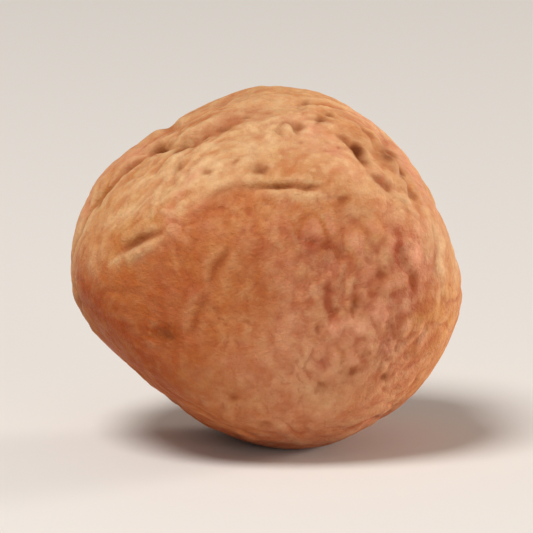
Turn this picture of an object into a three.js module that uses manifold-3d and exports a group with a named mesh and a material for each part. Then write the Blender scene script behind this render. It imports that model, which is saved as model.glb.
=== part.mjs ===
// A whole dried apricot, its stone still inside, lying on its side. Millimetres, +Z up, resting on z = 0.
// It is one solid: a plump body that dried into soft flats, with the seam, folds, pits and wrinkles of its
// skin as relief. X runs from the fruit's tip, at the left, to its stem end. -Y is the front.
import * as THREE from "three";
import { ImprovedNoise } from "three/addons/math/ImprovedNoise.js";
import { mergeVertices } from "three/addons/utils/BufferGeometryUtils.js";
import Module from "manifold-3d";

// Driving dimensions.
const WIDTH = 32; // left to right
const DEPTH = 26; // front to back
const HEIGHT = 29; // from the resting flat to the crown
const REST_PRESS = 0.75; // how far the underside is pressed flat where it rests
const MESH_DETAIL = 22; // each face of an icosahedron is split into (MESH_DETAIL + 1) squared triangles
const SKIN = { color: 0xc98552, roughness: 0.6, metalness: 0 };

const MEAN_RADIUS = (WIDTH + DEPTH + HEIGHT) / 6;
const { clamp, degToRad, lerp, smoothstep } = THREE.MathUtils;

// The unit vector at an azimuth, 0 at the front and 90 at the right, and an elevation above the middle.
function toward([azimuth, elevation]) {
  const [a, e] = [degToRad(azimuth), degToRad(elevation)];
  return new THREE.Vector3(Math.sin(a) * Math.cos(e), -Math.cos(a) * Math.cos(e), Math.sin(e));
}

// ---- The plain body ----

// Where the drying flesh sank into soft flats. reach is the flat's distance from the middle, as a share of
// the plump body's own reach that way.
const FLATS = {
  frontCheek: { facing: [6, -2], reach: 0.93 },
  browSlope: { facing: [-4, 66], reach: 0.91 },
  leftBrow: { facing: [-64, 42], reach: 0.92 },
  leftShoulder: { facing: [-94, 60], reach: 0.88 },
  rightShoulder: { facing: [92, 31], reach: 0.905 },
  rightCrown: { facing: [88, 60], reach: 0.945 },
  leftFlank: { facing: [-82, -44], reach: 0.85 },
  leftFoot: { facing: [-62, -65], reach: 0.905 },
  backCheek: { facing: [172, 10], reach: 0.945 },
  backSlope: { facing: [200, -40], reach: 0.95 },
};
const PLUMPER = new THREE.Vector3(1, 1.05, 1.04); // the plump body's size, as a share of the dried body's
const FLAT_SHARPNESS = 18; // higher gives crisper edges between the flats

const halfSize = new THREE.Vector3(WIDTH, DEPTH, HEIGHT + REST_PRESS).multiply(PLUMPER).multiplyScalar(0.5);
const flats = Object.values(FLATS).map(({ facing, reach }) => {
  const normal = toward(facing);
  return { normal, distance: reach * normal.clone().multiply(halfSize).length() };
});

// The body's radius along a direction: the ellipsoid and the flats, blended where they meet.
function bodyRadius(direction) {
  let sum = direction.clone().divide(halfSize).length() ** FLAT_SHARPNESS;
  for (const { normal, distance } of flats) {
    sum += Math.max(0, direction.dot(normal) / distance) ** FLAT_SHARPNESS;
  }
  return sum ** (-1 / FLAT_SHARPNESS);
}

// ---- Lumps, and wrinkles that run from the stem end to the tip, or from the brow down the front cheek ----

const STEM_END = toward([101, 5]);
const BROW_TOP = toward([8, 78]);
const CHEEK_MIDDLE = toward([8, -6]);
const CHEEK_EDGE = [degToRad(34), degToRad(58)]; // the wrinkles turn from downwards to lengthways over this
const WRINKLE = { spacing: 3.2, height: 0.5, seed: 11.3 };
const COMB_REACH = { lengthways: 0.34, cheek: 0.18 }; // radians along which a wrinkle keeps its height
const COMB_STEPS = 7;
const FOLD_GAIN = 4; // higher gives wider ridges and narrower valleys
const STRENGTH = { spacing: 14, seed: 5.7, mean: 0.55, swing: 0.9, least: 0.15, cheek: 0.6 };
const LUMP = { spacing: 9, height: 0.4, seed: 3.1 };

const noise = new ImprovedNoise();

// Noise at a point of the unit sphere, for features this far apart in millimetres.
function noiseAt(point, { spacing, seed }) {
  const p = point.clone().multiplyScalar(MEAN_RADIUS / spacing);
  return noise.noise(p.x + seed, p.y + 2 * seed, p.z - seed);
}

// How much a direction belongs to the front cheek, from 0 to 1.
function cheekShare(direction) {
  return 1 - smoothstep(direction.angleTo(CHEEK_MIDDLE), ...CHEEK_EDGE);
}

// The unit tangent at a direction that heads for another direction.
function heading(direction, goal) {
  return goal.clone().addScaledVector(direction, -direction.dot(goal)).normalize();
}

// The way the wrinkles run at a direction, as a unit tangent.
function wrinkleRun(direction) {
  const lengthways = heading(direction, STEM_END);
  const down = heading(direction, BROW_TOP).negate();
  return lengthways.lerp(down, cheekShare(direction)).normalize();
}

// Noise smeared along the wrinkles' run, then folded so that round ridges meet in narrow valleys. 0 to 1.
function wrinkleShape(direction) {
  const run = wrinkleRun(direction);
  const reach = lerp(COMB_REACH.lengthways, COMB_REACH.cheek, cheekShare(direction));
  let sum = 0;
  for (let k = -COMB_STEPS; k <= COMB_STEPS; k++) {
    const turn = (reach * k) / COMB_STEPS;
    const place = direction.clone().multiplyScalar(Math.cos(turn)).addScaledVector(run, Math.sin(turn));
    sum += noiseAt(place, WRINKLE) * Math.cos((Math.PI / 2) * (k / (COMB_STEPS + 1)));
  }
  return Math.min(1, Math.abs(sum / COMB_STEPS) * FOLD_GAIN);
}

// Some places wrinkled deeply as they dried and others hardly at all, the cheek least.
function wrinkleStrength(direction) {
  const patch = clamp(STRENGTH.mean + STRENGTH.swing * noiseAt(direction, STRENGTH), STRENGTH.least, 1);
  return patch * lerp(1, STRENGTH.cheek, cheekShare(direction));
}

function wrinkleHeight(direction) {
  return WRINKLE.height * wrinkleStrength(direction) * (wrinkleShape(direction) - 0.5);
}

function lumpHeight(direction) {
  return LUMP.height * noiseAt(direction, LUMP);
}

// ---- Folds and pits that stand alone ----

// Each runs through places given by azimuth and elevation. lip is how high the skin is pushed up beside it.
// The brow is a ridge: its depth and its lip are below zero.
const CREASES = {
  brow: {
    through: [[-60, 5], [-40, 24], [-26, 38], [-10, 46], [6, 46], [26, 43], [42, 34], [55, 14]],
    halfWidth: 1.7,
    depth: -0.3,
    lip: -0.15,
  },
  seam: {
    through: [[-84, 2], [-82, 18], [-80, 36], [-73, 48], [-56, 57], [-38, 68], [2, 79], [80, 76]],
    halfWidth: 1,
    depth: 0.4,
    lip: 0.15,
  },
  gash: {
    through: [[57, 63], [55, 54], [52, 48], [49, 40]],
    halfWidth: 0.7,
    depth: 0.5,
    lip: 0.1,
  },
  rightFold: {
    through: [[104, 50], [88, 46], [72, 39], [66, 26], [64, 4]],
    halfWidth: 0.8,
    depth: 0.35,
    lip: 0.15,
  },
  shoulderFold: {
    through: [[-80, 56], [-95, 57], [-116, 50], [-134, 36]],
    halfWidth: 0.9,
    depth: 0.3,
    lip: 0.1,
  },
  leftFold: {
    through: [[-57, 7], [-48, 15], [-38, 22]],
    halfWidth: 0.7,
    depth: 0.4,
    lip: 0.25,
  },
  browFold: {
    through: [[0, 39], [12, 38.5], [28, 38]],
    halfWidth: 0.7,
    depth: 0.3,
    lip: 0.2,
  },
  backFold: {
    through: [[140, -16], [154, -4], [172, 1], [192, 12], [206, 30]],
    halfWidth: 0.9,
    depth: 0.45,
    lip: 0.25,
  },
  underFold: {
    through: [[128, -34], [158, -42], [196, -38]],
    halfWidth: 1,
    depth: 0.6,
    lip: 0.2,
  },
};
const PATH_SAMPLES = 48;
const LIP_PLACE = 2; // half widths from the crease's middle to the top of its lip
const LEAST_END = 0.02; // share of the path at which the fade at its ends stops

const creases = Object.values(CREASES).map((crease) => {
  const path = new THREE.CatmullRomCurve3(crease.through.map(toward));
  return { ...crease, points: path.getPoints(PATH_SAMPLES).map((p) => p.normalize()) };
});

// The height that a crease adds at a direction: a groove between two low lips, which fades at both ends.
function creaseHeight(direction, { points, halfWidth, depth, lip }) {
  let nearest = Infinity;
  let share = 0;
  points.forEach((point, i) => {
    const distance = direction.distanceTo(point);
    if (distance < nearest) {
      nearest = distance;
      share = i / PATH_SAMPLES;
    }
  });
  const across = (nearest * MEAN_RADIUS) / halfWidth;
  const fade = Math.sqrt(Math.sin(Math.PI * clamp(share, LEAST_END, 1 - LEAST_END)));
  return fade * (lip * Math.exp(-((across - LIP_PLACE) ** 2)) - depth * Math.exp(-(across ** 2)));
}

const PITS = {
  stemCavity: { at: [101, 5], radius: 2.4, depth: 1.5 },
  cheekPit: { at: [-34, -13], radius: 0.9, depth: 0.4 },
};

function pitHeight(direction, { at, radius, depth }) {
  const across = (direction.distanceTo(toward(at)) * MEAN_RADIUS) / radius;
  return -depth * Math.exp(-(across ** 2));
}

// ---- All of the relief, which fades out round the resting flat ----

const REST_EDGE = [degToRad(14), degToRad(34)]; // angles from straight down over which the relief comes in

function relief(direction) {
  const heights = [
    lumpHeight(direction),
    wrinkleHeight(direction),
    ...creases.map((crease) => creaseHeight(direction, crease)),
    ...Object.values(PITS).map((pit) => pitHeight(direction, pit)),
  ];
  const fromBelow = Math.acos(clamp(-direction.z, -1, 1));
  return smoothstep(fromBelow, ...REST_EDGE) * heights.reduce((sum, height) => sum + height, 0);
}

// ---- Solids ----

const MERGE_WITHIN = 1e-4;

const wasm = await Module();
wasm.setup();

// A closed geometry as a manifold-3d solid.
function solidOf(geometry) {
  const bare = new THREE.BufferGeometry();
  bare.setAttribute("position", geometry.getAttribute("position"));
  bare.setIndex(geometry.index);
  const merged = mergeVertices(bare, MERGE_WITHIN);
  return new wasm.Manifold(
    new wasm.Mesh({
      numProp: 3,
      vertProperties: merged.getAttribute("position").array,
      triVerts: new Uint32Array(merged.index.array),
    }),
  );
}

// A manifold-3d solid as a geometry.
function geometryOf(solid) {
  const { vertProperties, triVerts } = solid.getMesh();
  const geometry = new THREE.BufferGeometry();
  geometry.setAttribute("position", new THREE.BufferAttribute(new Float32Array(vertProperties), 3));
  geometry.setIndex(new THREE.BufferAttribute(new Uint32Array(triVerts), 1));
  geometry.computeVertexNormals();
  return geometry;
}

// ---- Build ----

function wrinkledBody() {
  const ball = new THREE.IcosahedronGeometry(1, MESH_DETAIL).deleteAttribute("normal").deleteAttribute("uv");
  const geometry = mergeVertices(ball);
  const position = geometry.getAttribute("position");
  const direction = new THREE.Vector3();
  for (let i = 0; i < position.count; i++) {
    direction.fromBufferAttribute(position, i).normalize();
    const radius = bodyRadius(direction) + relief(direction);
    position.setXYZ(i, ...direction.multiplyScalar(radius));
  }
  return geometry;
}

// Scales and moves the body to the driving dimensions, over the origin, its lowest skin REST_PRESS below it.
function fitToSize(geometry) {
  geometry.computeBoundingBox();
  const { min, max } = geometry.boundingBox;
  const size = new THREE.Vector3().subVectors(max, min);
  geometry.translate(-(min.x + max.x) / 2, -(min.y + max.y) / 2, -min.z);
  geometry.scale(WIDTH / size.x, DEPTH / size.y, (HEIGHT + REST_PRESS) / size.z);
  geometry.translate(0, 0, -REST_PRESS);
  return geometry;
}

// A block that stands on z = 0 and holds all of the body above it.
function blockAboveRest() {
  const side = 2 * WIDTH;
  return new THREE.BoxGeometry(side, side, side).translate(0, 0, side / 2);
}

const body = solidOf(fitToSize(wrinkledBody()));
const apricot = new THREE.Mesh(
  geometryOf(body.intersect(solidOf(blockAboveRest()))),
  new THREE.MeshStandardMaterial(SKIN),
);
apricot.name = "apricot";

const group = new THREE.Group();
group.add(apricot);

export default group;
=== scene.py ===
"""A whole dried apricot: the skin, its colour and a plain studio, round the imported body.

Blender works in metres. The relief of the skin is worked out in millimetres, as a height along the direction
from the middle of the fruit. A direction is a unit vector. In the tables it is given as an azimuth, 0 at the
front (-Y) and 90 at the right (+X), and an elevation above the middle, both in degrees.
"""

import itertools
import math
from collections import namedtuple
from types import SimpleNamespace

import bmesh
import bpy
import numpy as np
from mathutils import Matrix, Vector
from mathutils.bvhtree import BVHTree
from mathutils.kdtree import KDTree


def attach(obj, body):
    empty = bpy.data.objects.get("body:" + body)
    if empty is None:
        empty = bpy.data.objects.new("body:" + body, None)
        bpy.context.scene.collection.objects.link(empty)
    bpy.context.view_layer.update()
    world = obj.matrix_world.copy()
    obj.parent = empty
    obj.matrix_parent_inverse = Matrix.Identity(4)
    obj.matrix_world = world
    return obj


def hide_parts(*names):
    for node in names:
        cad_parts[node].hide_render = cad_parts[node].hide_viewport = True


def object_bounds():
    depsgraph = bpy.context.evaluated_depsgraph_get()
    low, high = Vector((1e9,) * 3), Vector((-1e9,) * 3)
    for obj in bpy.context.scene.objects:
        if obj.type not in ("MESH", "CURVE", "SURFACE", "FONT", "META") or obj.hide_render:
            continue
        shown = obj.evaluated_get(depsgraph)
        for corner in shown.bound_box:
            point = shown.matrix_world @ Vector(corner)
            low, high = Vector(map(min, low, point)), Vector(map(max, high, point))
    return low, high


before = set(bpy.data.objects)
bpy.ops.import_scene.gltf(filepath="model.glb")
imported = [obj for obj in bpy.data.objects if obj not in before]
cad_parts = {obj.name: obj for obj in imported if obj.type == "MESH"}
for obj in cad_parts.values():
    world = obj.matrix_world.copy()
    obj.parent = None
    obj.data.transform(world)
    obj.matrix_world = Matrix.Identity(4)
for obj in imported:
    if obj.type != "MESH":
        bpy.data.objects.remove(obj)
cad_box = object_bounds()

MM = 0.001
CAD_LOW, CAD_HIGH = (np.array(corner) / MM for corner in cad_box)
MEAN_RADIUS = (CAD_HIGH - CAD_LOW).sum() / 6  # in millimetres
BODY_MIDDLE = np.array([0.03, -0.17, 14.3])  # in millimetres, where the directions start


# ---- Camera: level with the photograph's, far off through a long lens ----

VIEW_ELEVATION = 12
VIEW_DISTANCE = 0.6
VIEW_SPAN = 1.3625  # how many of the fruit's widths the picture holds across
SENSOR = 36


def add_camera():
    low, high = cad_box
    middle = (low + high) / 2
    rise = math.radians(VIEW_ELEVATION)
    back = Vector((0, -math.cos(rise), math.sin(rise)))
    data = bpy.data.cameras.new("camera")
    data.sensor_width = SENSOR
    data.lens = SENSOR * VIEW_DISTANCE / (VIEW_SPAN * (high.x - low.x))
    camera = bpy.data.objects.new("camera", data)
    camera.location = middle + back * VIEW_DISTANCE
    camera.rotation_euler = back.to_track_quat("Z", "Y").to_euler()
    bpy.context.scene.collection.objects.link(camera)
    bpy.context.scene.camera = camera


# ---- Directions and noise ----

NOISE_TABLE = 256  # a power of two
NOISE_GAIN = 1.6  # brings the noise to about -1 to 1
SEED_STEP = np.array([1, 2, -1])  # how far a seed moves the noise

dice = np.random.default_rng(11)
GRADIENTS = dice.normal(size=(NOISE_TABLE, 3))
GRADIENTS /= np.linalg.norm(GRADIENTS, axis=1, keepdims=True)
SHUFFLE = dice.permutation(NOISE_TABLE)


def toward(azimuth, elevation):
    a, e = math.radians(azimuth), math.radians(elevation)
    return np.array([math.sin(a) * math.cos(e), -math.cos(a) * math.cos(e), math.sin(e)])


def unit(vectors):
    return vectors / np.linalg.norm(vectors, axis=-1, keepdims=True)


def smoothstep(low, high, values):
    t = np.clip((values - low) / (high - low), 0, 1)
    return t * t * (3 - 2 * t)


def azimuths(directions):
    return np.degrees(np.arctan2(directions[:, 0], -directions[:, 1]))


def elevations(directions):
    return np.degrees(np.arcsin(np.clip(directions[:, 2], -1, 1)))


def near(directions, place, inner, outer):
    """1 within inner degrees of a place, falling to 0 at outer degrees from it."""
    apart = np.degrees(np.arccos(np.clip(directions @ toward(*place), -1, 1)))
    return 1 - smoothstep(inner, outer, apart)


def gradient_noise(points):
    """Smooth noise of about -1 to 1, for points in units of its spacing."""
    cell = np.floor(points).astype(int)
    local = points - cell
    ease = local**3 * (local * (local * 6 - 15) + 10)
    total = np.zeros(len(points))
    for corner in itertools.product((0, 1), repeat=3):
        x, y, z = ((cell + corner) & (NOISE_TABLE - 1)).T
        index = SHUFFLE[(SHUFFLE[(SHUFFLE[x] + y) & (NOISE_TABLE - 1)] + z) & (NOISE_TABLE - 1)]
        weight = np.prod(np.where(np.array(corner) == 1, ease, 1 - ease), axis=1)
        total += weight * np.einsum("ij,ij->i", GRADIENTS[index], local - corner)
    return NOISE_GAIN * total


def noise_at(directions, spacing, seed):
    """Noise on the skin, for features this many millimetres apart."""
    return gradient_noise(directions * (MEAN_RADIUS / spacing) + seed * SEED_STEP)


def patchy(directions, spacing, seed, middle=0.5, least=0.0, most=1.0):
    """Noise about a middle value, held between a least and a most."""
    return np.clip(middle + noise_at(directions, spacing, seed), least, most)


def warped(directions, spacing, reach, seed):
    """Directions moved about by up to about reach millimetres, so that what is laid out on them meanders."""
    shift = np.stack([noise_at(directions, spacing, seed + 7 * k) for k in range(3)], axis=1)
    return unit(directions + shift * (reach / MEAN_RADIUS))


# ---- The fine ball that the skin is made on ----

BALL_CUTS = 96  # each face of an icosahedron gets (BALL_CUTS + 1) squared triangles
FACET_BLUR = 120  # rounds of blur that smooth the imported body's facets away


def fine_ball():
    """A mesh ball of unit radius in even triangles."""
    bm = bmesh.new()
    bmesh.ops.create_icosphere(bm, subdivisions=1, radius=1)
    bmesh.ops.subdivide_edges(bm, edges=bm.edges[:], cuts=BALL_CUTS, use_grid_fill=True)
    for vertex in bm.verts:
        vertex.co.normalize()
    mesh = bpy.data.meshes.new("skin")
    bm.to_mesh(mesh)
    bm.free()
    return mesh


def coordinates(mesh):
    values = np.empty(len(mesh.vertices) * 3)
    mesh.vertices.foreach_get("co", values)
    return values.reshape(-1, 3)


class Blur:
    """Averages of a value over the neighbours of each vertex."""

    def __init__(self, mesh):
        ends = np.empty(len(mesh.edges) * 2, dtype=np.int64)
        mesh.edges.foreach_get("vertices", ends)
        self.a, self.b = ends.reshape(-1, 2).T
        self.count = len(mesh.vertices)
        self.degree = self.gathered(np.ones(self.count))

    def gathered(self, values):
        """The sum of the values at each vertex's neighbours."""
        return (np.bincount(self.a, values[self.b], self.count)
                + np.bincount(self.b, values[self.a], self.count))

    def __call__(self, values, rounds):
        for _ in range(rounds):
            values = (values + self.gathered(values) / self.degree) / 2
        return values


def cad_radii(directions):
    """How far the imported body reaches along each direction, in millimetres."""
    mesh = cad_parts["apricot"].data.copy()
    bm = bmesh.new()
    bm.from_mesh(mesh)
    bmesh.ops.remove_doubles(bm, verts=bm.verts, dist=1e-6)
    bm.to_mesh(mesh)
    bm.free()
    helper = bpy.data.objects.new("helper", mesh)
    bpy.context.scene.collection.objects.link(helper)
    rounding = helper.modifiers.new("rounding", "SUBSURF")
    rounding.levels = 2
    graph = bpy.context.evaluated_depsgraph_get()
    tree = BVHTree.FromObject(helper, graph)
    origin = Vector(BODY_MIDDLE * MM)
    radii = np.array([tree.ray_cast(origin, Vector(d))[3] for d in directions]) / MM
    bpy.data.objects.remove(helper)
    bpy.data.meshes.remove(mesh)
    return radii


# ---- Which way the wrinkles run ----

STEM_END = toward(101, 5)
BROW_TOP = toward(8, 78)  # the cheek's wrinkles fan out from here
COMB_STEPS = 6

# Regions: a middle, and the degrees from it where the region starts to end and where it has ended.
CHEEK = ((8, -6), 34, 58)
BROW = ((-8, 56), 30, 50)
RIGHT_BROW = ((55, 40), 18, 34)


def heading(directions, goal):
    """The unit tangents at the directions that head for another direction."""
    return unit(goal - (directions @ goal)[:, None] * directions + 1e-9)


def wrinkle_run(directions, meander):
    """The way the wrinkles run: from tip to stem end, or down from the brow on the cheek, and meandering."""
    share = near(directions, *CHEEK)[:, None]
    run = unit(heading(directions, STEM_END) * (1 - share) - heading(directions, BROW_TOP) * share)
    turn = meander * noise_at(directions, 5, 37)[:, None]
    return unit(run * np.cos(turn) + np.cross(directions, run) * np.sin(turn))


def combed(directions, run, spacing, reach, seed):
    """Noise smeared along a run over reach millimetres each way."""
    total = 0
    for k in range(-COMB_STEPS, COMB_STEPS + 1):
        turn = reach / MEAN_RADIUS * k / COMB_STEPS
        place = directions * math.cos(turn) + run * math.sin(turn)
        total += noise_at(place, spacing, seed) * math.cos(math.pi / 2 * k / (COMB_STEPS + 1))
    return total / COMB_STEPS


def folded(values, gain=3):
    """Rounded ridges with narrow valleys where the values cross zero, from -0.5 to 0.5."""
    return 0.5 - np.exp(0.1 - np.sqrt((gain * values) ** 2 + 0.01))


# ---- Creases, pits and patches of colour, each in its place ----


def path_points(through, samples=120):
    """A smooth path over the ball through a list of azimuths and elevations (Catmull-Rom)."""
    knots = np.array([toward(*place) for place in through])
    knots = np.vstack([2 * knots[0] - knots[1], knots, 2 * knots[-1] - knots[-2]])
    share = np.linspace(0, len(through) - 1, samples)
    first = np.minimum(share.astype(int), len(through) - 2)
    t = (share - first)[:, None]
    a, b, c, d = (knots[first + k] for k in range(4))
    curve = 0.5 * (2 * b + (c - a) * t + (2 * a - 5 * b + 4 * c - d) * t**2 + (3 * b - a - 3 * c + d) * t**3)
    return unit(curve)


def along(directions, through):
    """How far each direction is to the left of a path in millimetres, and its share of the way along it.

    Left is as seen from outside, and below 0 is to the right. The share goes from 0 to 1.
    """
    points = path_points(through)
    dots = directions @ points.T
    nearest = dots.argmax(axis=1)
    distance = np.arccos(np.clip(dots[np.arange(len(dots)), nearest], -1, 1)) * MEAN_RADIUS
    heading_on = np.gradient(points, axis=0)[nearest]
    left = np.cross(directions, heading_on)
    side = np.sign(np.einsum("ij,ij->i", left, directions - points[nearest]))
    return distance * side, nearest / (len(points) - 1)


# A path, then millimetres: half of the width, the depth, and the lips, which are the heights of the skin
# pushed up to the left and right. dark is how far the crease fills with brown, partly the skin's colour and
# partly painted shade in the groove.
Crease = namedtuple("Crease", "through half_width depth lips dark")
CREASES = {
    "seam": Crease(
        [(-84, 0), (-83, 16), (-82, 28), (-83, 39), (-77, 49), (-60, 54)],
        0.45, 0.35, (0.05, 0.12), 0.33,
    ),
    "seam under the crown": Crease(
        [(-66, 52), (-54, 58), (-41, 66), (-28, 74)],
        0.8, 0.4, (0.2, 0), 0.12,
    ),
    "seam over the crown": Crease(
        [(60, 80), (88, 72), (104, 50), (104, 24), (101, 10)],
        0.5, 0.3, (0.1, 0.1), 0.2,
    ),
    "seam at the tip": Crease(
        [(-84, 4), (-80, -8), (-96, -30), (-150, -48)],
        0.5, 0.35, (0.1, 0.1), 0.25,
    ),
    "gash": Crease(
        [(49.8, 58.2), (50.2, 54.4), (49.4, 50.2), (47.9, 46), (46.4, 41.6)],
        0.44, 0.5, (0.08, -0.05), 0.8,
    ),
    "gash tail": Crease(
        [(46.8, 39.8), (48.5, 37), (51, 33)],
        0.36, 0.2, (0.04, 0.04), 0.55,
    ),
    "right fold": Crease(
        [(110, 49), (90, 48), (74, 45), (66.5, 37), (63, 29.5), (60, 20)],
        0.5, 0.25, (0.05, 0.08), 0.25,
    ),
    "right cheek fold": Crease(
        [(66, 20), (62, 8), (66, -8)],
        0.45, 0.12, (0.04, 0.04), 0.15,
    ),
    "shoulder fold": Crease(
        [(-88, 57), (-104, 55), (-120, 48), (-134, 36)],
        0.6, 0.2, (0.05, 0.05), 0.15,
    ),
    "left fold": Crease(
        [(-53, 11.5), (-47.5, 16), (-42.5, 19.5), (-37.5, 22)],
        0.4, 0.42, (0, 0.32), 0.5,
    ),
    "brow fold": Crease(
        [(-5, 39.7), (5, 39.3), (14, 38.7), (24, 38.4)],
        0.26, 0.5, (0.05, 0.16), 0.6,
    ),
    "brow edge": Crease(
        [(-25, 33), (-16, 37.5), (-7, 39.8), (3, 39.5)],
        0.35, 0.16, (0.08, 0), 0.25,
    ),
    "hook": Crease(
        [(12.5, 61), (11.5, 66), (17.5, 69.5), (24.5, 67.5), (23.5, 62.5)],
        0.34, 0.2, (0.06, 0.06), 0.36,
    ),
    "first seam dent": Crease(
        [(-84, 44), (-78, 49), (-71, 53)],
        0.7, 0.3, (0.05, 0.1), 0.3,
    ),
    "second seam dent": Crease(
        [(-63, 52.5), (-54, 54.8), (-45, 55.5)],
        0.7, 0.3, (0.1, 0.1), 0.5,
    ),
    "cheek line": Crease(
        [(-13.5, 19), (-16, 14), (-20, 6)],
        0.42, 0.12, (0.03, 0.05), 0.28,
    ),
    "lower cheek line": Crease(
        [(-20.5, 2.5), (-24, -4), (-28, -12)],
        0.45, 0.12, (0.03, 0.05), 0.25,
    ),
    "first red valley": Crease(
        [(11, 22), (18, 19.5), (24, 18), (29, 13)],
        0.4, 0.16, (0.04, 0.04), 0.1,
    ),
    "second red valley": Crease(
        [(22, 16), (22, 6), (22.5, -2), (24.5, -8)],
        0.4, 0.13, (0.04, 0.04), 0.05,
    ),
    "third red valley": Crease(
        [(45.5, 21), (47.2, 12.5), (50.5, 5), (51, 0)],
        0.42, 0.14, (0.04, 0.04), 0.05,
    ),
    "fourth red valley": Crease(
        [(43, -5), (42.5, -11), (42, -17)],
        0.4, 0.08, (0.03, 0.03), 0,
    ),
    "cheek pit's tail": Crease(
        [(-46, -14), (-41, -13.5), (-35, -12)],
        0.38, 0.08, (0.02, 0.04), 0.1,
    ),
    "back fold": Crease(
        [(142, -15), (154, -4), (172, 1), (192, 12), (204, 27)],
        0.35, 0.35, (0.12, 0.06), 0.3,
    ),
    "back branch": Crease(
        [(198, -14), (212, -4), (228, 2), (240, 12)],
        0.4, 0.3, (0.1, 0.1), 0.2,
    ),
    "under fold": Crease(
        [(128, -34), (158, -42), (196, -38)],
        0.4, 0.5, (0.2, 0.1), 0.3,
    ),
    "stem furrow": Crease(
        [(100, 6), (112, -8), (124, -20)],
        0.5, 0.35, (0.12, 0.1), 0.3,
    ),
}

# A place, then millimetres. A pit whose depth is below 0 is a bump that stands proud. dark is as for creases:
# partly brown skin, partly painted shade in the pit.
Pit = namedtuple("Pit", "at radius depth dark")
PITS = [
    # the stem's cavity, and the scar inside it
    Pit((101, 5), 2.4, 1.4, 0.2),
    Pit((101, 5), 1.0, 0.6, 0.8),
    # the tip
    Pit((-79, -6), 0.7, 0.4, 0.6),
    # the crown
    Pit((-49, 61), 0.4, 0.15, 0.4),
    Pit((-41, 67), 0.5, 0.2, 0.45),
    Pit((-28, 75), 0.4, 0.15, 0.35),
    Pit((78, 77), 0.5, 0.2, 0.35),
    Pit((49.5, 66), 0.62, 0.25, 0.65),
    Pit((62, 67), 0.4, 0.15, 0.5),
    Pit((26.5, 66), 0.45, 0.15, 0.5),
    # the left shoulder and flank
    Pit((-79.5, 48.5), 0.75, 0.3, 1.0),
    Pit((-81, 23), 0.5, 0.25, 0.5),
    Pit((-82, 38), 0.6, 0.25, 0.6),
    # the brow
    Pit((-57.5, 53), 0.7, 0.25, 1.1),
    Pit((-3.5, 45.8), 0.6, 0.25, 0.6),
    Pit((-15, 49), 0.35, 0.1, 0.35),
    Pit((-44, 44), 0.5, 0.12, 0.45),
    Pit((-27.5, 44), 0.4, 0.1, 0.45),
    Pit((30.5, 32.8), 0.38, 0.12, 0.36),
    Pit((50.5, 34), 0.42, 0.12, 0.45),
    # the right shoulder and flank
    Pit((66, 43.8), 0.6, 0.2, 0.45),
    Pit((72.5, 44.8), 0.8, 0.2, 0.35),
    Pit((74, 54), 0.5, 0.15, 0.4),
    Pit((66.5, 38), 0.5, 0.15, 0.5),
    Pit((62, 29), 0.5, 0.15, 0.45),
    # the cheek's left half
    Pit((-36, -13.4), 0.88, 0.26, 0.5),
    Pit((-14, -35), 0.4, 0.1, 0.3),
    # the cheek's right half
    Pit((31.5, -2), 0.45, 0.12, 0.6),
    Pit((35.5, 13), 0.5, 0.1, 0.2),
    Pit((40, 8), 0.45, 0.1, 0.3),
    Pit((24, -5), 0.5, 0.12, 0.12),
    Pit((51, 5), 0.55, 0.12, 0.22),
    Pit((32, -26), 0.5, 0.12, 0.4),
    Pit((46, -28), 0.5, 0.12, 0.5),
    Pit((21, -31), 0.5, 0.1, 0.25),
    Pit((18.5, -10.5), 0.4, 0.1, 0.3),
    # the underside
    Pit((-1, -49), 0.45, 0.1, 0.3),
    # small bumps on the cheek
    Pit((24.5, -11), 0.6, -0.12, 0),
    Pit((32, -9), 0.6, -0.12, 0),
    Pit((38, -13.5), 0.65, -0.1, 0),
    Pit((39.5, -5.3), 0.6, -0.1, 0),
    Pit((52.5, 10.5), 0.5, -0.1, 0),
    Pit((47.5, -3.6), 0.6, -0.1, 0),
    Pit((20, -19), 0.8, -0.1, 0),
]

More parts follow.
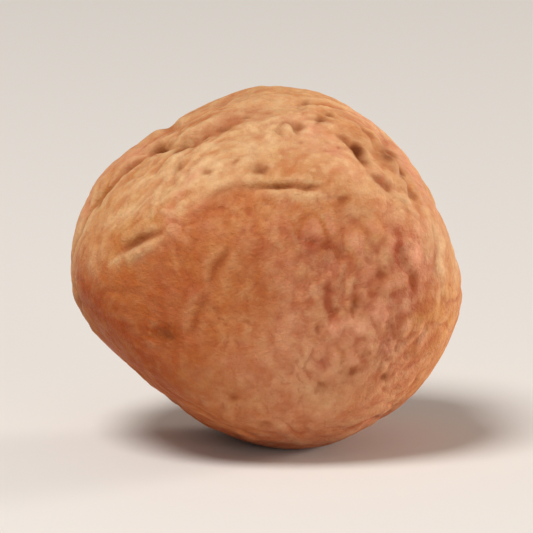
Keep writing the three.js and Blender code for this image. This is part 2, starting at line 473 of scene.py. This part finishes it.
# A path, a radius in millimetres, and how much the colour covers there. With a share above 1 it covers the
# whole middle.
Patch = namedtuple("Patch", "through radius share")
PATCHES = {
    "gold": [
        # the left shoulder and flank
        Patch([(-92, 8), (-84, 22), (-70, 32)], 4.0, 0.6),
        # the left edge: painted rim light, golder
        Patch([(-84, 10), (-70, 9), (-60, 4)], 2.2, 0.9),
        # the right shoulder and flank
        # the right lower edge, golder: partly its own colour, partly painted warm reflected light
        Patch([(66, -6), (78, -18), (74, -34)], 2.2, 0.95),
        # the cheek's left half
        Patch([(-12, 24), (-4, 27)], 1.6, 0.5),
        # the cheek's right half
        Patch([(41, 20), (44, 26)], 1.0, 0.4),
        # the back
        Patch([(170, 40), (200, 25)], 4.0, 0.5),
    ],
    "orange": [
        # the left shoulder and flank
        Patch([(-66, 29), (-62, 32)], 1.6, 0.2),
        # the lower left edge: painted shade and reflected red light, as darker, more saturated orange
        Patch([(-78, -3), (-64, -10), (-56, -18), (-50, -24)], 2.8, 1.0),
        Patch([(-80, 34), (-92, 52), (-80, 68)], 2.0, 0.55),
        # the right shoulder and flank
        Patch([(58, -10), (59, -15)], 1.4, 0.4),
        # the cheek's left half
        Patch([(-44, -14), (-34, -13.5)], 0.9, 0.8),
        Patch([(-35, -26), (-33, -28)], 0.8, 0.6),
        Patch([(1, 14), (0, 4), (-5, -10)], 1.7, 0.4),
        Patch([(-8, 30), (4, 26)], 1.5, 0.22),
    ],
    "tan": [
        # the crown
        Patch([(69, 58), (69, 53)], 0.8, 0.5),
        # the brow
        Patch([(-36, 29), (-27, 35)], 0.8, 0.6),
        Patch([(-8, 43), (6, 43), (26, 41)], 1.6, 0.8),
        # the cheek's left half
        Patch([(-36, 17), (-22, 28), (-4, 33)], 1.8, 0.6),
    ],
    "ochre": [
        # the left shoulder and flank
        Patch([(-82, 48), (-78, 49)], 0.65, 0.7),
        Patch([(-85, 27), (-84, 20)], 0.6, 0.7),
        # the brow
        Patch([(-59, 53.4), (-52, 54.4)], 0.6, 0.9),
        Patch([(-2, 41.3), (6, 40.8)], 0.65, 0.7),
        # the right shoulder and flank
        Patch([(67.5, 39), (65, 35)], 0.6, 0.7),
        Patch([(64, 31), (61.5, 27)], 0.6, 0.7),
        Patch([(57, -9), (61, -17)], 1.5, 0.7),
        # the cheek's left half
        Patch([(-53, 15), (-47, 20), (-40, 23)], 1.1, 0.5),
        Patch([(-52, 10), (-46, 14), (-40, 18)], 0.6, 0.4),
        # the cheek's right half
        Patch([(39.5, 19.5), (38.5, 16.5)], 0.5, 0.35),
        Patch([(35, 14), (36.5, 12)], 0.6, 0.4),
    ],
    "deep": [
        # the cheek's left half
        Patch([(-38, -14), (-35, -12)], 1.0, 1.6),
        # the lower left edge: painted shade, deep red-brown
        Patch([(-74, 2), (-62, -4), (-56, -11), (-49, -19), (-44, -30)], 2.2, 0.85),
        # the cheek's right half
        Patch([(13, 21.5), (15, 19.5)], 0.65, 0.9),
    ],
    "pale_patch": [
        # the crown
        Patch([(-12, 57), (0, 60), (0, 71)], 1.4, 0.8),
        Patch([(32, 62), (36, 54)], 1.0, 0.45),
        Patch([(-40, 84), (60, 82)], 1.6, 0.35),
        # the left shoulder and flank
        Patch([(-70, 30), (-60, 38), (-48, 44)], 1.0, 0.5),
        # the left edge: painted rim light, creamier
        Patch([(-84, 12), (-80, 2)], 1.8, 0.7),
        Patch([(-74, 9), (-62, 8)], 1.2, 0.4),
        # the brow
        # along the brow's edge: creamier skin, partly painted highlight where the light from above catches it
        Patch([(-34, 40), (-20, 46), (-12, 50)], 1.3, 0.8),
        Patch([(-55, 39), (-47, 42)], 0.9, 0.7),
        Patch([(-52, 47.5), (-47, 49)], 0.5, 0.8),
        Patch([(-38, 53), (-35, 55)], 0.7, 0.9),
        Patch([(52, 33), (55, 30)], 0.8, 0.5),
        Patch([(10, 35), (28, 34.5)], 0.5, 0.4),
        Patch([(36, 42), (43, 31)], 1.0, 0.3),
        # the right shoulder and flank
        Patch([(82, 16), (79, 8), (77, 0)], 1.2, 0.5),
        Patch([(67, 14), (64, 4)], 1.0, 0.8),
        # the cheek's left half
        Patch([(-56, 8), (-49, 13), (-42, 17.5)], 0.35, 0.6),
        Patch([(-62, 21), (-48, 33), (-34, 39)], 1.0, 0.5),
        # low on the cheek's left half: painted light, paler
        Patch([(-30, -31), (-16, -33)], 2.0, 0.15),
        # the cheek's right half
        Patch([(32, 29), (34, 27)], 0.7, 0.5),
        Patch([(16, -19), (20, -25), (24, -31)], 2.2, 0.45),
        Patch([(41, -20), (47, -14)], 1.3, 0.45),
        Patch([(38, 17), (40, 13)], 0.9, 0.5),
        Patch([(46.5, 25), (50, 26)], 0.8, 0.42),
        Patch([(37.5, 16), (39.5, 14)], 0.7, 0.3),
        # the back
        Patch([(135, 45), (160, 30)], 3.0, 0.4),
    ],
    "pink": [
        # the crown
        Patch([(30, 64), (38, 56), (40, 46)], 2.2, 0.6),
        # the left shoulder and flank
        Patch([(-92, 18), (-94, 35), (-90, 47)], 1.4, 0.6),
        # the brow
        Patch([(-31, 43), (-34, 39), (-36, 34)], 0.5, 0.7),
        # the right shoulder and flank
        Patch([(106, 52), (92, 44), (74, 32)], 2.2, 0.95),
        # the cheek's left half
        Patch([(-9, 17), (-7, 12)], 1.2, 0.12),
        Patch([(-27, 28), (-21, 25)], 1.3, 0.35),
        Patch([(-35, 26), (-32, 23)], 1.0, 0.5),
        # the cheek's right half: pink skin, with painted highlights on some of the small bumps
        Patch([(5, 12), (8, -2), (12, -24)], 1.4, 0.3),
        Patch([(27, -11), (30, -14)], 0.8, 0.8),
        Patch([(38, -4), (40, -10)], 0.8, 0.8),
        Patch([(36, 13), (37, 6)], 0.7, 0.7),
        Patch([(52, 16), (55, 6)], 0.7, 0.7),
        Patch([(32, -18), (33, -22)], 0.8, 0.5),
        Patch([(19, -20), (22, -25)], 1.1, 0.9),
        Patch([(46, -10), (48, -16)], 1.1, 0.6),
        Patch([(16, 15), (17, 12)], 0.6, 0.5),
        Patch([(28, 25), (34, 18)], 1.1, 0.4),
        Patch([(45, -13), (44, -18)], 0.8, 0.5),
        Patch([(38, 31), (46, 24), (40, 17)], 1.3, 0.15),
        Patch([(9, 16), (12, 7)], 1.5, 0.45),
    ],
    "red": [
        # the crown
        # a reddish band under the crown's roll: painted shade
        Patch([(-47, 58), (-45, 65), (-36, 73), (-10, 79)], 1.1, 0.55),
        Patch([(81, 63.5), (79, 60)], 0.8, 0.45),
        # the left shoulder and flank
        # the lower left edge: painted shade, redder
        Patch([(-74, -4), (-60, -12), (-52, -21)], 2.2, 0.2),
        # the brow
        Patch([(-24, 31), (-16, 34)], 1.2, 0.15),
        Patch([(49.5, 36.5), (51.5, 33.5)], 0.55, 0.7),
        # the right shoulder and flank
        Patch([(104, 50), (94, 44), (84, 42)], 0.8, 0.35),
        Patch([(72, 50), (80, 40), (74, 33)], 1.0, 0.15),
        # the cheek's left half
        Patch([(-7, 19.5), (-3, 18)], 0.9, 0.45),
        # the cheek's right half
        Patch([(13, 20.5), (18, 19.5), (24, 18)], 0.85, 0.85),
        Patch([(22.2, 7), (22, 4), (22.5, -1), (24, -7)], 0.42, 0.85),
        Patch([(25, 15), (28, 11), (32, 9)], 0.45, 0.35),
        Patch([(31, 5), (32, -2)], 0.4, 0.5),
        Patch([(43, -6), (42, -14)], 0.5, 0.1),
        Patch([(47.5, 19.5), (47.5, 12), (51, 5), (51.5, 1)], 0.5, 0.95),
        Patch([(47, 14), (47.6, 10.5)], 0.6, 2.0),
        # the underside: a redder, darker band, partly its own colour and partly painted shade and reflected
        # red light
        Patch([(-50, -52), (-10, -64), (40, -66), (75, -54)], 1.5, 0.4),
        # the back
        Patch([(150, -10), (185, -16)], 3.5, 0.35),
    ],
    # pale pink spots, most on the small proud bumps: painted highlights, partly pink skin
    "pink_highlight": [
        # the right shoulder and flank
        Patch([(56, -13), (58, -16)], 0.7, 0.3),
        # the cheek's right half
        Patch([(24, -10.5), (26, -11.5)], 0.6, 1.0),
        Patch([(31.5, -8.5), (33, -10)], 0.6, 1.0),
        Patch([(37.5, -13.5), (39, -13.5)], 0.6, 0.4),
        Patch([(39, -5), (41, -6)], 0.6, 0.6),
        Patch([(52, 12), (53, 9)], 0.5, 1.2),
        Patch([(45, -3), (49.5, -4)], 0.5, 0.7),
        Patch([(22.5, 12.5), (22.5, 11)], 0.6, 0.5),
        Patch([(43, -15), (44.5, -17)], 0.8, 0.4),
    ],
    "brown": [
        # the brow
        # the gash's far wall: painted shade, dark brown
        Patch([(50.3, 51.2), (48, 45.5)], 0.5, 1.5),
        # the right shoulder and flank
        Patch([(63, 43.5), (69, 44.3), (77, 45.5)], 0.85, 0.65),
        Patch([(67, 50), (65, 42), (62, 34)], 1.7, 0.22),
        Patch([(74, 56), (72, 52)], 0.4, 0.4),
        # the cheek's left half
        Patch([(-31, 17), (-28, 9)], 1.6, 0.08),
        Patch([(-8, 14), (0, 6)], 2.2, 0.08),
        Patch([(-20, 24), (-34, 10), (-30, -2)], 2.2, 0.06),
        # the cheek's right half
        Patch([(51, 6), (51.5, 3.5)], 0.4, 0.25),
        Patch([(12, 30), (30, 27)], 2.0, 0.06),
        Patch([(7, 22), (10, 21)], 1.4, 0.1),
    ],
}

LIP_PLACE = 1.9  # how far from its middle a crease's lips stand, in half widths
LIP_WIDTH = 0.55  # in millimetres
FULL_LIP = 0.2  # the height that a lip needs for its painted highlight to show in full, in millimetres
BROAD_PATCH = 1  # the radius from which a patch's edge wanders widely, in millimetres


def crease_relief(directions):
    """The height of all the creases at each direction, how dark they are, and how much of a lip is there."""
    wandering = warped(warped(directions, 2.4, 0.3, 31), 0.9, 0.12, 67)
    uneven = np.clip(0.95 + 0.45 * noise_at(directions, 1.8, 43), 0.6, 1.3)
    height, dark, lifted = (np.zeros(len(directions)) for _ in range(3))
    for crease in CREASES.values():
        offset, share = along(wandering, crease.through)
        fade = np.sqrt(np.sin(math.pi * np.clip(share, 0.01, 0.99))) * uneven
        groove = fade * np.exp(-(np.abs(offset / crease.half_width) ** 1.6))
        lips = np.zeros(len(directions))
        for side, tall in zip((1, -1), crease.lips):
            from_lip = (side * offset - LIP_PLACE * crease.half_width) / LIP_WIDTH
            lips += fade * tall * np.exp(-(from_lip**2))
        height += lips - crease.depth * groove
        dark = np.maximum(dark, crease.dark * groove)
        lifted = np.maximum(lifted, lips / FULL_LIP)
    return height, np.clip(dark, 0, 1), np.clip(lifted, 0, 1)


def pit_relief(directions):
    """The height of all the pits at each direction, and how dark they are."""
    wandering = warped(directions, 0.9, 0.3, 53)
    height, dark = (np.zeros(len(directions)) for _ in range(2))
    for pit in PITS:
        away = np.linalg.norm(wandering - toward(*pit.at), axis=1) * MEAN_RADIUS / pit.radius
        dent = np.exp(-(away**2))
        height -= pit.depth * dent
        dark = np.maximum(dark, pit.dark * dent)
    return height, dark


def colour_patches(directions):
    """How much of each colour's patches is at each direction, from 0 to 1."""
    broad = warped(warped(directions, 3, 1.0, 107), 1.1, 0.4, 109)
    close = warped(directions, 1.1, 0.2, 109)
    uneven = np.clip(0.8 + 0.7 * noise_at(directions, 1.4, 113), 0.2, 1.2)
    shares = {}
    for colour, patches in PATCHES.items():
        total = np.zeros(len(directions))
        for patch in patches:
            offset, _ = along(close if patch.radius < BROAD_PATCH else broad, patch.through)
            total = np.maximum(total, patch.share * uneven * np.exp(-((offset / patch.radius) ** 2)))
        shares[colour] = np.clip(total, 0, 1)
    return shares


# ---- Pebbles and wrinkles ----

PEBBLE_SPACING = 1.25  # in millimetres
PEBBLE_SQUEEZE = 0.55  # what a step up or down counts for in that spacing, which draws the pebbles out
PEBBLE_CROWDING = 1.3  # about how many there are to a square of the spacing
PEBBLE_VALLEY = 0.55  # the valleys' width as a share of the spacing
PEBBLE_BLUR = 4  # rounds of blur that round the pebbles off

# Where the wrinkles are lower: a region, and the share of their height that goes.
CALM_PLACES = [
    (BROW, 0.3),
    (((66, 46), 14, 34), 0.45),
    (((18, 68), 8, 16), 0.6),
    (((-56, -6), 12, 26), 0.7),
    (((78, 0), 12, 28), 0.5),
]

# Bands of wrinkles, from coarse to fine, in millimetres. reach is how far each way they are combed.
Wrinkles = namedtuple("Wrinkles", "height spacing reach seed")
COARSE = Wrinkles(0.42, 2.6, 2.0, 71)
MEDIUM = Wrinkles(0.15, 1.3, 1.3, 73)
CROSSING = Wrinkles(0.08, 1.6, 0.8, 77)
FINE = Wrinkles(0.06, 0.75, 0.5, 79)

PEBBLE_HEIGHT = 0.05  # everywhere, in millimetres
PEBBLE_EXTRA_HEIGHT = 0.15  # in the pebbly places, as well
REST_CALM = (58, 74)  # the degrees below the middle where the relief starts to end and where it has ended


def pebbles_on(directions):
    """Small pebbles with valleys between them, from 0 in a valley to 1 on a pebble."""
    scatter = np.random.default_rng(5)
    on_skin = 4 * math.pi * MEAN_RADIUS**2 / PEBBLE_SPACING**2
    count = int(on_skin * PEBBLE_SQUEEZE * PEBBLE_CROWDING)
    squeeze = np.array([1, 1, PEBBLE_SQUEEZE])
    tree = KDTree(count)
    for i, seed in enumerate(unit(scatter.normal(size=(count, 3))) * squeeze):
        tree.insert(seed, i)
    tree.balance()
    moved = warped(warped(directions, 2.5, 0.8, 61), 0.9, 0.3, 97) * squeeze
    gaps = np.empty(len(directions))
    for i, place in enumerate(moved):
        (_, _, first), (_, _, second) = tree.find_n(place, 2)
        gaps[i] = second - first
    return smoothstep(0, PEBBLE_VALLEY * PEBBLE_SPACING / MEAN_RADIUS, gaps)


def red_network(directions):
    """How much a direction is in the red, pebbled patch on the right of the front cheek, from 0 to 1."""
    azimuth, elevation = azimuths(directions), elevations(directions)
    across = smoothstep(-2, 22, azimuth) * (1 - smoothstep(48, 72, azimuth))
    tilted = elevation + 0.3 * np.clip(azimuth - 30, 0, 60)
    down = smoothstep(-38, -18, elevation) * (1 - smoothstep(24, 34, tilted))
    return across * down * (1 - near(directions, (46.5, 25.5), 2, 9))


def wrinkled(directions, run, band):
    """The height of one band of wrinkles that follow a run, in millimetres."""
    return band.height * folded(combed(directions, run, band.spacing, band.reach, band.seed))


def skin_relief(directions, blur):
    """The height of the fine relief in millimetres, and the masks that it brings."""
    run = wrinkle_run(warped(directions, 7, 2.0, 3), 0.7)
    across_run = np.cross(directions, run)
    wandering = warped(warped(directions, 3, 0.9, 17), 1.2, 0.25, 19)
    cheek = near(directions, *CHEEK)
    wide_patches = patchy(directions, 7, 23, least=0.08)
    patches = patchy(directions, 4, 29, least=0.1, most=1.2)
    crossing = patchy(directions, 5, 47, middle=0.3)
    calm = math.prod(1 - loss * near(directions, *region) for region, loss in CALM_PLACES)
    network = red_network(directions)
    pebbly = np.maximum(near(directions, *BROW), near(directions, *RIGHT_BROW))
    pebbly = np.maximum(network, 0.8 * pebbly)
    pebbles = blur(pebbles_on(directions), PEBBLE_BLUR)
    creases, crease_dark, lips = crease_relief(directions)
    pits, pit_dark = pit_relief(directions)
    height = (
        calm * wide_patches * (1 - 0.8 * cheek) * wrinkled(wandering, run, COARSE)
        + calm * patches * (1 - 0.4 * cheek) * wrinkled(wandering, run, MEDIUM)
        + crossing * (1 - 0.5 * cheek) * wrinkled(wandering, across_run, CROSSING)
        + patches * wrinkled(wandering, run, FINE)
        + (PEBBLE_HEIGHT + PEBBLE_EXTRA_HEIGHT * pebbly * patches) * (pebbles - 0.5)
        + creases
        + pits
    )
    height *= 1 - smoothstep(*REST_CALM, -elevations(directions))
    streak = np.clip(0.5 + 1.1 * combed(directions, wrinkle_run(directions, 0.2), 1.1, 0.7, 103), 0, 1)
    dark = np.maximum(crease_dark, pit_dark)
    return height, {"dark": dark, "lip": lips, "pebble": pebbles, "network": network, "streak": streak}


# ---- The skin's mesh and its masks ----

# The elevation of the edge between the paler upper side and the cheek, by azimuth. The upper side's paler
# colour is partly its own and partly painted light, where the light from above falls.
PALE_EDGE = [
    (-180, 22), (-120, 8), (-90, 0), (-62, 5), (-38, 19), (-31, 27), (-23, 34), (-12, 38.5), (10, 38),
    (31, 35), (44, 26), (54, 10), (64, -6), (90, -14), (130, 14), (180, 22),
]

# How much of the paler colour, with its painted light, there is above that edge, by azimuth.
PALE_SHARE = [(-180, 0.7), (-60, 1), (35, 1), (52, 0.75), (80, 0.6), (104, 0.75), (180, 0.7)]

CAVITY_BLUR = 10  # rounds of blur that level the valleys which the cavity mask finds
CAVITY_RANGE = 0.08  # the depth between none and all of the cavity mask, in millimetres


def colour_zones(directions):
    """Masks from 0 to 1 for the broad zones of colour."""
    azimuth, elevation = azimuths(directions), elevations(directions)
    wobble = 5 * noise_at(directions, 3, 83) + 3 * noise_at(directions, 1.2, 89)
    edge = np.interp(azimuth, *zip(*PALE_EDGE))
    soft = smoothstep(20, 60, np.abs(azimuth + 5))
    pale = smoothstep(-3, 4 + 14 * soft, elevation - edge + wobble * (0.4 + 0.6 * soft))
    return {
        # the paler upper side: partly its own colour, partly painted light from above
        "pale": pale * np.interp(azimuth, *zip(*PALE_SHARE)),
        # the left side, darker and more saturated: partly its own colour, partly painted shade and reflected
        # red light
        "left": smoothstep(-110, -70, azimuth) * (1 - smoothstep(-38, 12, azimuth)),
        # the underside, darker and redder: partly its own colour, partly painted shade and reflected red
        # light
        "under": smoothstep(45, 75, -elevation + 0.6 * wobble),
        # a paler, rosier zone low on the front: partly the skin's tone, partly painted reflected light
        "rosy_and_reflected_light": near(warped(directions, 5, 2, 101), (26, -26), 22, 48),
    }


def fitted(points):
    """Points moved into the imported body's box, which they then fill, without moving the resting flat."""
    least, most = points.min(axis=0), points.max(axis=0)
    return CAD_LOW + (points - least) * (CAD_HIGH - CAD_LOW) / (most - least)


def add_mask(mesh, name, values):
    attribute = mesh.attributes.new(name, "FLOAT", "POINT")
    attribute.data.foreach_set("value", np.asarray(values, dtype=np.float32))


def make_skin():
    mesh = fine_ball()
    directions = unit(coordinates(mesh))
    blur = Blur(mesh)
    height, masks = skin_relief(directions, blur)
    radii = blur(cad_radii(directions), FACET_BLUR) + height
    points = BODY_MIDDLE + directions * radii[:, None]
    points[:, 2] = np.maximum(points[:, 2], 0)
    mesh.vertices.foreach_set("co", (fitted(points) * MM).ravel())
    masks |= colour_zones(directions) | colour_patches(directions)
    # how far the skin lies below its surroundings, which sets the painted shade in valleys and the painted
    # highlight on ridges
    masks["cavity"] = np.clip(0.5 + (blur(radii, CAVITY_BLUR) - radii) / CAVITY_RANGE, 0, 1)
    for name, values in masks.items():
        add_mask(mesh, name, values)
    mesh.polygons.foreach_set("use_smooth", [True] * len(mesh.polygons))
    mesh.update()
    skin = bpy.data.objects.new("skin", mesh)
    bpy.context.scene.collection.objects.link(skin)
    return skin


# ---- Materials ----

PALE = (0.57, 0.298, 0.128)
CREAM = (0.71, 0.45, 0.23)
GOLD = (0.6, 0.26, 0.075)
TAN = (0.5, 0.187, 0.062)
ORANGE_BROWN = (0.4, 0.09, 0.014)
ROSE = (0.5, 0.168, 0.084)
ROSY_AND_REFLECTED_LIGHT = (0.56, 0.23, 0.11)
PINK = (0.64, 0.27, 0.15)
RED = (0.34, 0.07, 0.028)
BROWN = (0.13, 0.026, 0.003)
GROOVE_BROWN_AND_SHADE = (0.4, 0.1, 0.014)
DEEP = (0.34, 0.045, 0.002)
OCHRE = (0.47, 0.18, 0.035)
PINK_HIGHLIGHT = (0.8, 0.37, 0.22)


def principled(name):
    material = bpy.data.materials.new(name)
    material.use_nodes = True
    return material, material.node_tree.nodes["Principled BSDF"]


def plain_material(name, colour, roughness):
    material, shader = principled(name)
    shader.inputs["Base Color"].default_value = (*colour, 1)
    shader.inputs["Roughness"].default_value = roughness
    return material


MIX_SHARE, MIX_FIRST, MIX_SECOND, MIX_RESULT = 0, 6, 7, 2  # the Mix node's sockets for colours


class Graph:
    """Adds nodes to a material. An input is a number, a colour or another node's output."""

    def __init__(self, material):
        self.tree = material.node_tree
        self.place = self.add("ShaderNodeTexCoord").outputs["Object"]

    def add(self, kind, inputs=(), **settings):
        node = self.tree.nodes.new(kind)
        for name, value in settings.items():
            setattr(node, name, value)
        for name, value in dict(inputs).items():
            self.feed(node.inputs[name], value)
        return node

    def feed(self, socket, value):
        if isinstance(value, bpy.types.NodeSocket):
            self.tree.links.new(value, socket)
        elif isinstance(value, tuple) and socket.type == "RGBA":
            socket.default_value = (*value, 1)
        else:
            socket.default_value = value

    def mask(self, name):
        return self.add("ShaderNodeAttribute", attribute_name=name).outputs["Fac"]

    def calculate(self, operation, a, b):
        return self.add("ShaderNodeMath", {0: a, 1: b}, operation=operation, use_clamp=True).outputs[0]

    def times(self, *values):
        product = values[0]
        for value in values[1:]:
            product = self.calculate("MULTIPLY", product, value)
        return product

    def remap(self, value, low, high, to_low=0.0, to_high=1.0):
        inputs = {"Value": value, "From Min": low, "From Max": high, "To Min": to_low, "To Max": to_high}
        return self.add("ShaderNodeMapRange", inputs, interpolation_type="SMOOTHSTEP").outputs["Result"]

    def between(self, first, last, share):
        """A number that goes smoothly from the first to the last as the share goes from 0 to 1."""
        return self.remap(share, 0, 1, first, last)

    def noise(self, spacing, detail=3.0, roughness=0.5, distortion=0.0):
        inputs = {
            "Vector": self.place,
            "Scale": 1 / (spacing * MM),
            "Detail": detail,
            "Roughness": roughness,
            "Distortion": distortion,
        }
        return self.add("ShaderNodeTexNoise", inputs).outputs["Fac"]

    def blotches(self, spacing, detail, roughness, distortion):
        """Soft blotches, from 0 to 1, which are noise with its middle part stretched."""
        return self.remap(self.noise(spacing, detail, roughness, distortion), 0.36, 0.64)

    def speckles(self, spacing, size):
        """Small soft dots, from 0 to 1 at their middles."""
        inputs = {"Vector": self.place, "Scale": 1 / (spacing * MM)}
        near_dot = self.add("ShaderNodeTexVoronoi", inputs).outputs["Distance"]
        return self.remap(near_dot, size, 0.0)

    def mix(self, share, first, second):
        node = self.add("ShaderNodeMix", data_type="RGBA")
        self.feed(node.inputs[MIX_SHARE], share)
        self.feed(node.inputs[MIX_FIRST], first)
        self.feed(node.inputs[MIX_SECOND], second)
        return node.outputs[MIX_RESULT]


def skin_patterns(graph):
    """What the skin's colours follow, each from 0 to 1."""
    pale = graph.mask("pale")
    return SimpleNamespace(
        broad=graph.blotches(6, 4, 0.6, 0.5),
        middling=graph.blotches(2.2, 4, 0.65, 0.2),
        small=graph.blotches(0.8, 3, 0.6, 0.2),
        mottle=graph.noise(1.3, 3, 0.6, 0.2),
        cavity=graph.remap(graph.mask("cavity"), 0.55, 1.0),
        lit_ridge=graph.remap(graph.mask("cavity"), 0.5, 0.05),
        light_streak=graph.remap(graph.mask("streak"), 0.5, 0.95),
        dark_streak=graph.remap(graph.mask("streak"), 0.5, 0.05),
        valley=graph.remap(graph.mask("pebble"), 0.6, 0.0),
        pebble=graph.remap(graph.mask("pebble"), 0.6, 1.0),
        network=graph.mask("network"),
        pale=pale,
        shaded_low_left=graph.times(graph.mask("left"), graph.calculate("SUBTRACT", 1.0, pale)),
        brown_and_groove_shade=graph.calculate("MAXIMUM", graph.mask("brown"), graph.mask("dark")),
    )


def skin_colour(graph):
    """The skin's colour: coats laid over one another, each as much as its shares multiply to."""
    mask, between = graph.mask, graph.between
    see = skin_patterns(graph)
    coats = [
        # broad zones
        # the left side, darker and more saturated: partly its own colour, partly painted shade and reflected
        # red light
        (ORANGE_BROWN, mask("left"), between(0.84, 0.64, see.middling)),
        # a paler, rosier zone low on the front: partly the skin's tone, partly painted reflected light
        (ROSY_AND_REFLECTED_LIGHT, mask("rosy_and_reflected_light"), between(0.6, 1.0, see.broad)),
        # the underside, darker and redder: partly its own colour, partly painted shade and reflected red
        # light
        (RED, mask("under"), 0.25),
        # the paler upper side: partly its own colour, partly painted light from above
        (PALE, see.pale, between(1.0, 0.65, see.dark_streak)),
        # patches under the streaks
        (GOLD, mask("gold"), between(0.5, 1.0, see.middling)),
        (ORANGE_BROWN, mask("orange")),
        (TAN, mask("tan")),
        (OCHRE, mask("ochre")),
        (DEEP, mask("deep")),
        # streaks
        (ORANGE_BROWN, see.dark_streak, between(0.15, 0.4, see.middling), between(1.0, 0.4, see.pale)),
        (PALE, see.light_streak, between(0.35, 0.1, see.middling), between(1.0, 0.5, see.shaded_low_left)),
        # patches over the streaks, with painted highlights on the lips of creases and on ridges
        (CREAM, mask("pale_patch")),
        (PINK, mask("pink")),
        (CREAM, mask("lip"), 0.5),
        (CREAM, see.lit_ridge, between(0.12, 0.35, see.pale)),
        # the pebbled network: pink on the pebbles, partly pink skin and partly painted highlight on their
        # tops, and red in the valleys
        (PINK, see.network, see.pebble, 0.7),
        (RED, see.network, see.valley, between(0.15, 0.5, see.middling)),
        (RED, see.network, see.dark_streak, see.valley, 0.4),
        (RED, mask("red")),
        # painted highlights on the small bumps, partly pink skin
        (PINK_HIGHLIGHT, mask("pink_highlight")),
        # painted shade in the valleys, then mottling and freckles
        (RED, see.cavity, between(0.4, 0.15, see.pale)),
        (RED, graph.remap(see.mottle, 0.5, 0.35), between(0.25, 0.14, see.pale)),
        (graph.mix(see.shaded_low_left, CREAM, GOLD), graph.remap(see.mottle, 0.52, 0.66), 0.2),
        (ORANGE_BROWN, see.small, 0.2),
        (RED, graph.speckles(1.9, 0.18), graph.remap(see.broad, 0.3, 0.8), 0.6),
        # the dark of creases, pits and brown patches: partly brown skin, partly painted shade in the grooves
        # and pits
        (GROOVE_BROWN_AND_SHADE, see.brown_and_groove_shade, 0.85),
        (BROWN, see.brown_and_groove_shade),
    ]
    colour = graph.mix(see.broad, TAN, ROSE)
    for coat, *shares in coats:
        colour = graph.mix(graph.times(*shares), colour, coat)
    return colour


def skin_bump(graph):
    """Crepe and grain that are too fine for the mesh."""
    crepe = graph.noise(0.7, 4, 0.65, 0.3)
    grain = graph.noise(0.25, 3, 0.6)
    height = graph.calculate("ADD", graph.times(crepe, 0.65), graph.times(grain, 0.35))
    inputs = {"Height": height, "Strength": 1.0, "Distance": 0.3 * MM}
    return graph.add("ShaderNodeBump", inputs).outputs["Normal"]


def skin_material():
    material, shader = principled("dried apricot skin")
    graph = Graph(material)
    graph.feed(shader.inputs["Base Color"], skin_colour(graph))
    graph.feed(shader.inputs["Roughness"], graph.remap(graph.noise(1.6, 3, 0.6), 0.3, 0.7, 0.48, 0.7))
    graph.feed(shader.inputs["Normal"], skin_bump(graph))
    shader.inputs["Specular IOR Level"].default_value = 0.11
    shader.inputs["Subsurface Weight"].default_value = 0.15
    shader.inputs["Subsurface Radius"].default_value = (1.0, 0.4, 0.15)
    shader.inputs["Subsurface Scale"].default_value = 0.9 * MM
    shader.inputs["Sheen Weight"].default_value = 0.03
    shader.inputs["Sheen Roughness"].default_value = 0.4
    shader.inputs["Sheen Tint"].default_value = (1, 0.75, 0.5, 1)
    return material


# ---- Studio ----

FLOOR_RADIUS = 3
FLOOR_COLOUR = (0.67, 0.625, 0.58)
FLOOR_ROUGHNESS = 0.8
WORLD_COLOUR = (1, 0.97, 0.93)
WORLD_STRENGTH = 0.27

# Round lamps, in metres and watts, each at a direction from the fruit, which they face.
Lamp = namedtuple("Lamp", "azimuth elevation distance size power colour")
LAMPS = {
    "key": Lamp(-44, 64, 0.7, 0.3, 4.9, (1, 1, 1)),
    "rim": Lamp(112, 8, 0.7, 0.2, 4.0, (1, 0.95, 0.88)),
    "front": Lamp(40, 3, 0.9, 0.5, 3.3, (1, 1, 1)),
}


def add_floor():
    mesh = bpy.data.meshes.new("floor")
    bm = bmesh.new()
    bmesh.ops.create_circle(bm, cap_ends=True, segments=96, radius=FLOOR_RADIUS)
    bm.to_mesh(mesh)
    bm.free()
    floor = bpy.data.objects.new("floor", mesh)
    mesh.materials.append(plain_material("floor", FLOOR_COLOUR, FLOOR_ROUGHNESS))
    bpy.context.scene.collection.objects.link(floor)


def add_lamp(name, lamp):
    data = bpy.data.lights.new(name, "AREA")
    data.shape = "DISK"
    data.size = lamp.size
    data.energy = lamp.power
    data.color = lamp.colour
    light = bpy.data.objects.new(name, data)
    out = Vector(toward(lamp.azimuth, lamp.elevation))
    light.location = Vector(BODY_MIDDLE * MM) + out * lamp.distance
    light.rotation_euler = out.to_track_quat("Z", "Y").to_euler()
    bpy.context.scene.collection.objects.link(light)


def add_world():
    world = bpy.data.worlds.new("world")
    world.use_nodes = True
    background = world.node_tree.nodes["Background"]
    background.inputs["Color"].default_value = (*WORLD_COLOUR, 1)
    background.inputs["Strength"].default_value = WORLD_STRENGTH
    bpy.context.scene.world = world


add_camera()
skin = make_skin()
skin.data.materials.append(skin_material())
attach(skin, "root")
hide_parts("apricot")
add_floor()
for lamp_name, lamp in LAMPS.items():
    add_lamp(lamp_name, lamp)
add_world()
bpy.context.scene.view_settings.view_transform = "Standard"
